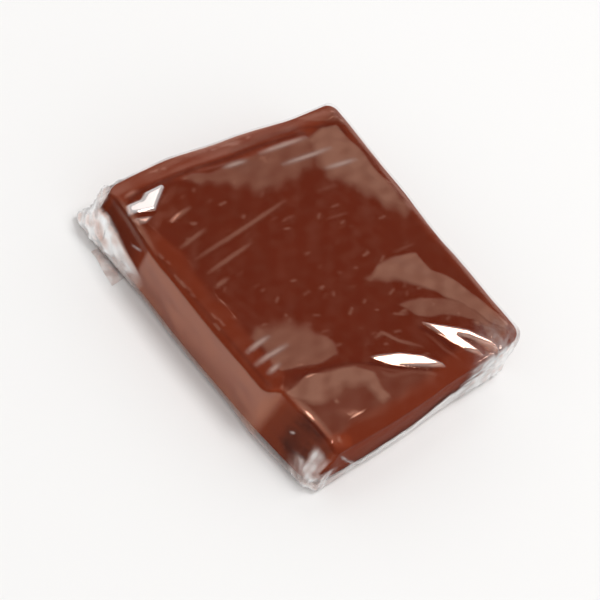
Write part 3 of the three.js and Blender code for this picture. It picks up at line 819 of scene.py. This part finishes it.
def film_material():
    """Cellophane: it shows what is under it, and mirrors more where air lies beneath it."""
    material, nodes, links, output = new_material("clear cellophane")
    facing = add_node(nodes, "LayerWeight", {"Blend": 0.5})
    slack_mark = add_node(nodes, "Attribute", attribute_name="slack")
    crumple_mark = add_node(nodes, "Attribute", attribute_name="crumpled")
    mixed = add_node(nodes, "MixShader")

    # How much it mirrors: more at a glancing angle, where it is slack, and where it is crumpled.
    grazing = add_node(nodes, "Math", {1: 5.0}, operation="POWER")
    glance = add_node(nodes, "MapRange", {"To Min": 0.045, "To Max": 0.9})
    loose = add_node(nodes, "MapRange", {"From Max": 0.3, "To Min": 0.06, "To Max": 1.0})
    mirrored = add_node(nodes, "Math", operation="MULTIPLY")
    air_gap = add_node(nodes, "MapRange", {
        "From Min": 0.28, "From Max": 0.75, "To Min": 0.37, "To Max": 0.10})
    milky = add_node(nodes, "Math", operation="MULTIPLY_ADD")
    whiter = add_node(nodes, "Math", {1: 0.45}, operation="MULTIPLY_ADD", use_clamp=True)
    join(links,
         (facing, "Facing", grazing, 0), (grazing, 0, glance, "Value"),
         (slack_mark, "Fac", loose, "Value"), (glance, "Result", mirrored, 0),
         (loose, "Result", mirrored, 1), (facing, "Facing", air_gap, "Value"),
         (slack_mark, "Fac", milky, 0), (air_gap, "Result", milky, 1), (mirrored, 0, milky, 2),
         (crumple_mark, "Fac", whiter, 0), (milky, 0, whiter, 2), (whiter, 0, mixed, "Fac"))

    # Its shine is tinted by the caramel close beneath, and white from the side or where crumpled.
    sidelong = add_node(nodes, "MapRange", {"From Min": 0.3, "From Max": 1.0})
    paler = add_node(nodes, "Math", operation="ADD", use_clamp=True)
    tint = mix_colours(nodes, A=(1.0, 0.52, 0.36, 1), B=(1, 1, 1, 1))
    surface = add_node(nodes, "Group", {"Wave Size": 420.0, "Pit Size": 1500.0, "Pit Share": 0.04},
                       node_tree=UNEVEN_SURFACE)
    bump = add_node(nodes, "Bump", {"Strength": 0.2, "Distance": 0.05 * MM})
    shine = add_node(nodes, "BsdfAnisotropic", {"Roughness": 0.09})
    join(links,
         (facing, "Facing", sidelong, "Value"), (sidelong, "Result", paler, 0),
         (crumple_mark, "Fac", paler, 1), (paler, 0, tint, "Factor"),
         (tint, "Result", shine, "Color"), (surface, "Height", bump, "Height"),
         (bump, "Normal", shine, "Normal"), (shine, "BSDF", mixed, 2))

    # What shows through is dimmed from the side, and veiled by white haze where it is crumpled.
    edge = add_node(nodes, "Math", {1: 3.0}, operation="POWER")
    edge_tint = mix_colours(nodes, A=(1, 1, 1, 1), B=(0.78, 0.785, 0.79, 1))
    clear = add_node(nodes, "BsdfTransparent")
    veil = add_node(nodes, "BsdfDiffuse", {"Color": (0.85, 0.85, 0.85, 1)})
    haze = add_node(nodes, "Math", {1: 0.7}, operation="MULTIPLY")
    veiled = add_node(nodes, "MixShader")
    join(links,
         (facing, "Facing", edge, 0), (edge, 0, edge_tint, "Factor"),
         (edge_tint, "Result", clear, "Color"), (crumple_mark, "Fac", haze, 0),
         (haze, 0, veiled, "Fac"), (clear, "BSDF", veiled, 1), (veil, "BSDF", veiled, 2),
         (veiled, "Shader", mixed, 1), (mixed, "Shader", output, "Surface"))
    return material


FILM_MATERIAL = film_material()
film.data.materials.append(FILM_MATERIAL)
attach(film, "root")
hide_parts("film_wrapper")

# ==== The laps under the film ====================================================================
# The long edges of the sheet overlap lengthwise under the slab, the two end flaps are turned under
# over them, and one corner of the lap peeps out at the front left.

LAP = (7.0, -1.5)                # how wide the lengthwise lap is, and the y of its middle
UNDER_FLAP = (8.5, 0.62)         # how far the end flaps reach, and how they narrow
TAB = [(-15.6, -16.6), (-11.1, -17.2), (-11.4, -13.9), (-15.8, -13.9)]  # what peeps out, in plan
LAP_LOW, UNDER_LOW = 0.12, 0.05  # the heights of the lap, and of the flaps and tab under it
LAP_THICK = 0.04
LAP_WAVES = (0.08, 0.012)  # how far they wave in plan, and up and down
LAP_SQUARES = 24


def laid_sheet(corners, low, seed):
    """A thin closed sheet between four corners in plan, a little wavy, lying at a height."""
    steps = np.linspace(0, 1, LAP_SQUARES + 1)
    u, v = np.meshgrid(steps, steps, indexing="ij")
    weights = np.stack([(1 - u) * (1 - v), u * (1 - v), u * v, (1 - u) * v], axis=-1)
    plan = (weights @ np.array(corners)).reshape(-1, 2)
    flat = np.column_stack([plan, np.zeros(len(plan))])
    flat[:, 0] += LAP_WAVES[0] * waver(flat, 3.0, seed)
    flat[:, 1] += LAP_WAVES[0] * waver(flat, 3.0, seed + 1)
    under = flat + np.outer(low + LAP_WAVES[1] * waver(flat, 2.5, seed + 2), (0, 0, 1))
    over = under + (0, 0, LAP_THICK)
    index = np.arange(len(flat)).reshape(u.shape)
    quads = grid_faces(index)
    rim = np.concatenate([index[:-1, 0], index[-1, :-1], index[:0:-1, -1], index[0, :0:-1]])
    after = np.roll(rim, -1)
    walls = np.stack([rim, after, after + len(flat), rim + len(flat)], axis=1)
    faces = np.concatenate([quads[:, ::-1], quads + len(flat), walls])
    return np.concatenate([under, over]), faces


def end_flap(side):
    """The four corners in plan of the flap turned under at one end."""
    start, end = PLAN[side], PLAN[(side + 1) % 4]
    inward = -side_ways()[side]
    reach, taper = UNDER_FLAP
    half = 0.5 - TUCK[0]
    return [start + (end - start) * (0.5 + share * half) + inward * depth
            for share, depth in ((-1, -0.3), (1, -0.3), (taper, reach), (-taper, reach))]


lap_left, lap_right = PLAN[0, 0] + UNDER_FLAP[0] / 2, PLAN[1, 0] - UNDER_FLAP[0] / 2
lap_low, lap_high = LAP[1] - LAP[0] / 2, LAP[1] + LAP[0] / 2
lap = [(lap_left, lap_low), (lap_right, lap_low), (lap_right, lap_high), (lap_left, lap_high)]
points, faces = [], []
for corners, low, seed in ((lap, LAP_LOW, 41), (end_flap(1), UNDER_LOW, 44),
                           (end_flap(3), UNDER_LOW, 47), (TAB, UNDER_LOW, 50)):
    sheet, quads = laid_sheet(corners, low, seed)
    faces += (quads + sum(len(part) for part in points)).tolist()
    points.append(sheet)
points = np.concatenate(points)
laps = new_piece("film_laps", points, faces)
mark(laps, "slack", 0.12 + 0.08 * waver(points, 2.5, 53))
mark(laps, "crumpled", 0.10 + 0.15 * waver(points, 1.4, 54))
laps.data.materials.append(FILM_MATERIAL)
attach(laps, "root")

# ==== The floor ==================================================================================
# A plain white studio table that the sweet lies loose on, wide enough to run out of sight on
# every side.

FLOOR_HALF = 2500.0
corners = np.array([(-1, -1, 0), (1, -1, 0), (1, 1, 0), (-1, 1, 0)])
floor = new_piece("floor", FLOOR_HALF * corners, [(0, 1, 2, 3)])
table_white, nodes, links, output = new_material("white table")
paint = add_node(nodes, "BsdfPrincipled", {"Base Color": (0.89, 0.88, 0.87, 1), "Roughness": 0.7})
join(links, (paint, "BSDF", output, "Surface"))
floor.data.materials.append(table_white)

# ==== The light ==================================================================================
# A bright white sweep of paper stands all round up to a low height, under a dimmer, light grey
# ceiling, and two soft boxes hang high up behind the sweet.

world = bpy.data.worlds.new("studio")
bpy.context.scene.world = world
world.use_nodes = True
nodes, links = world.node_tree.nodes, world.node_tree.links
nodes.clear()
way = add_node(nodes, "TexCoord")
split = add_node(nodes, "SeparateXYZ")
height = add_node(nodes, "MapRange", {"From Min": 0.36, "From Max": 0.62},
                  interpolation_type="SMOOTHSTEP")
room = mix_colours(nodes, A=(1, 1, 1, 1), B=(0.55, 0.55, 0.55, 1))
sky = add_node(nodes, "Background")
world_output = add_node(nodes, "OutputWorld")
join(links,
     (way, "Generated", split, "Vector"), (split, "Z", height, "Value"),
     (height, "Result", room, "Factor"), (room, "Result", sky, "Color"),
     (sky, "Background", world_output, "Surface"))


def soft_box(name, azimuth, elevation, distance, size, watts):
    """A square area lamp aimed at the sweet, by its direction in degrees and its distance in m."""
    lamp = bpy.data.lights.new(name, "AREA")
    lamp.shape = "SQUARE"
    lamp.size = size
    lamp.energy = watts
    box = bpy.data.objects.new(name, lamp)
    a, e = math.radians(azimuth), math.radians(elevation)
    box.location = [distance * math.cos(e) * math.cos(a), distance * math.cos(e) * math.sin(a),
                    distance * math.sin(e)]
    box.rotation_euler = (0, math.pi / 2 - e, a)
    bpy.context.scene.collection.objects.link(box)


soft_box("key_box", azimuth=69, elevation=72.5, distance=0.75, size=0.30, watts=2.5)
soft_box("side_box", azimuth=134.7, elevation=52.3, distance=0.75, size=0.16, watts=0.15)

# ==== The camera =================================================================================
# It looks down from the front right with a long lens, and leans over to its left, so the sweet
# lies aslant.

EYE = np.array([108.16, -231.51, 282.12]) * MM
AIM = np.array([1.47, -2.33, 3.5]) * MM
LEAN = math.radians(29.85)
SENSOR = 36.0
LENS = 215.2

camera_data = bpy.data.cameras.new("camera")
camera_data.sensor_width = SENSOR
camera_data.lens = LENS
camera_data.clip_start = 0.01
camera = bpy.data.objects.new("camera", camera_data)
bpy.context.scene.collection.objects.link(camera)
ahead = (AIM - EYE) / np.linalg.norm(AIM - EYE)
level_right = np.cross(ahead, (0, 0, 1))
level_right /= np.linalg.norm(level_right)
level_up = np.cross(level_right, ahead)
right = math.cos(LEAN) * level_right + math.sin(LEAN) * level_up
up = math.cos(LEAN) * level_up - math.sin(LEAN) * level_right
turned = np.eye(4)
turned[:3] = np.column_stack([right, up, -ahead, EYE])
camera.matrix_world = Matrix(turned.tolist())
bpy.context.scene.camera = camera
bpy.context.scene.view_settings.view_transform = "Standard"
